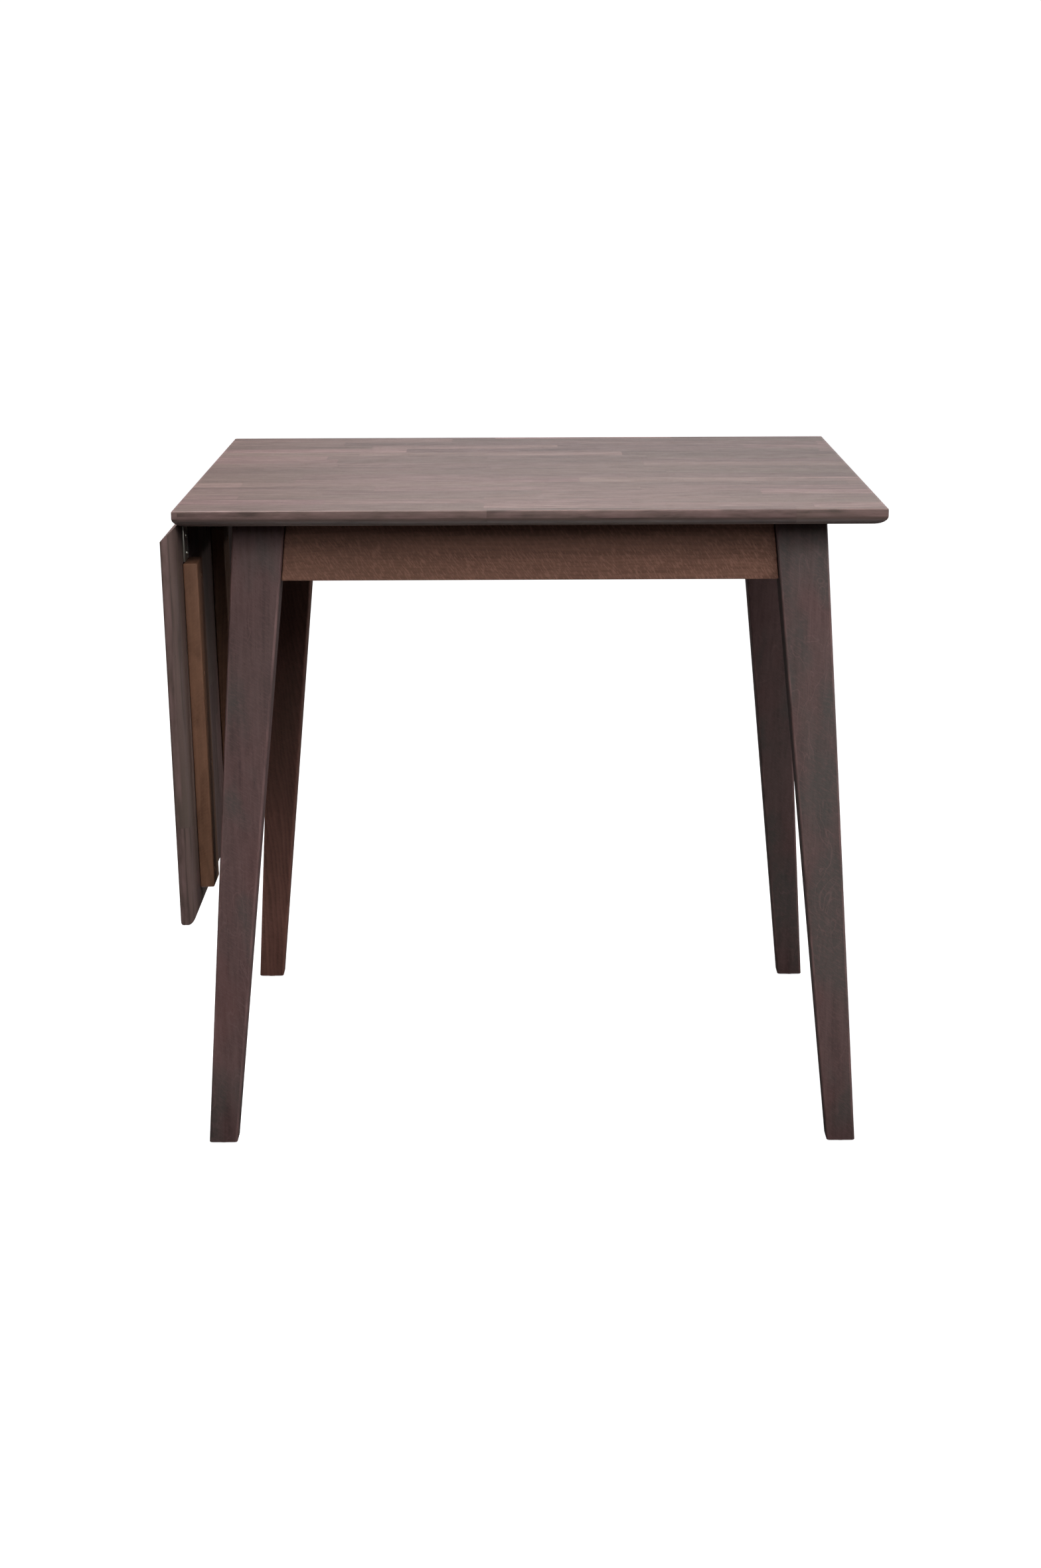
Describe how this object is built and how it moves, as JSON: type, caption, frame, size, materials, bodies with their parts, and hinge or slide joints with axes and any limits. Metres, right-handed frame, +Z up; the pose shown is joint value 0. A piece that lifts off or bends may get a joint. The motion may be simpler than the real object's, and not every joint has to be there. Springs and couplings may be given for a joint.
{
  "type": "drop-leaf table",
  "caption": "Square drop-leaf dining table with splayed tapered legs, an apron frame and a hinged leaf that hangs at one side and swings up level with the top.",
  "frame": {"origin": "on the floor under the middle of the whole table with its leaf down, 6.9 mm from the centre of the square top towards the leaf", "axes": "+Z up, the front is -Y, the leaf hangs at -X"},
  "size_m": [0.8179, 0.804, 0.75],
  "materials": {
    "top_wood": "satin oak staves, grey-brown stain",
    "leg_wood": "satin oak, grey-brown stain",
    "apron_wood": "satin oak, warm brown stain",
    "batten_wood": "matt oak, warm brown",
    "block_wood": "bare sawn wood",
    "hinge_steel": "zinc-plated, satin",
    "fastener_steel": "zinc-plated",
    "stay_steel": "rolled steel strip, satin",
    "glide_nylon": "moulded nylon"
  },
  "bodies": {
    "frame": {"table_top": "top_wood", "leg_front_left": "leg_wood", "corner_block_front_left": "block_wood", "hanger_bolt_front_left": "fastener_steel", "hanger_nut_front_left": "fastener_steel", "foot_glide_front_left": "glide_nylon", "leg_front_right": "leg_wood", "corner_block_front_right": "block_wood", "hanger_bolt_front_right": "fastener_steel", "hanger_nut_front_right": "fastener_steel", "foot_glide_front_right": "glide_nylon", "leg_back_left": "leg_wood", "corner_block_back_left": "block_wood", "hanger_bolt_back_left": "fastener_steel", "hanger_nut_back_left": "fastener_steel", "foot_glide_back_left": "glide_nylon", "leg_back_right": "leg_wood", "corner_block_back_right": "block_wood", "hanger_bolt_back_right": "fastener_steel", "hanger_nut_back_right": "fastener_steel", "foot_glide_back_right": "glide_nylon", "apron_front": "apron_wood", "top_clip_front": "fastener_steel", "apron_back": "apron_wood", "top_clip_back": "fastener_steel", "apron_left": "apron_wood", "top_clip_left": "fastener_steel", "apron_right": "apron_wood", "top_clip_right": "fastener_steel", "hinge_fixed_flap_front": "hinge_steel", "hinge_pin_front": "hinge_steel", "hinge_fixed_flap_middle": "hinge_steel", "hinge_pin_middle": "hinge_steel", "hinge_fixed_flap_back": "hinge_steel", "hinge_pin_back": "hinge_steel", "stay_bracket": "stay_steel", "stay_pivot_pin": "fastener_steel"},
    "leaf": {"leaf_panel": "top_wood", "leaf_batten_front": "batten_wood", "leaf_batten_middle": "batten_wood", "leaf_batten_back": "batten_wood", "hinge_leaf_flap_front": "hinge_steel", "hinge_leaf_flap_middle": "hinge_steel", "hinge_leaf_flap_back": "hinge_steel", "hinge_screw_front_1": "fastener_steel", "hinge_screw_front_2": "fastener_steel", "hinge_screw_middle_1": "fastener_steel", "hinge_screw_middle_2": "fastener_steel", "hinge_screw_back_1": "fastener_steel", "hinge_screw_back_2": "fastener_steel", "stay_track": "stay_steel", "stay_track_screw_1": "fastener_steel", "stay_track_screw_2": "fastener_steel"},
    "stay": {"stay_arm": "stay_steel", "stay_slide_pin": "fastener_steel"}
  },
  "joints": [
    {"name": "leaf_hinge", "type": "hinge", "parent": "frame", "child": "leaf", "pos_m": [-0.3904, 0, 0.731], "axis": [0, 1, 0], "range_deg": [0, 91.6]},
    {"name": "stay_fold", "type": "hinge", "parent": "frame", "child": "stay", "pos_m": [-0.3422, 0, 0.68], "axis": [0, 1, 0], "range_deg": [0, 92.72]}
  ],
  "couplings": [
    {"joint": "stay_fold", "follows": "leaf_hinge", "ratio": 1.0121}
  ]
}
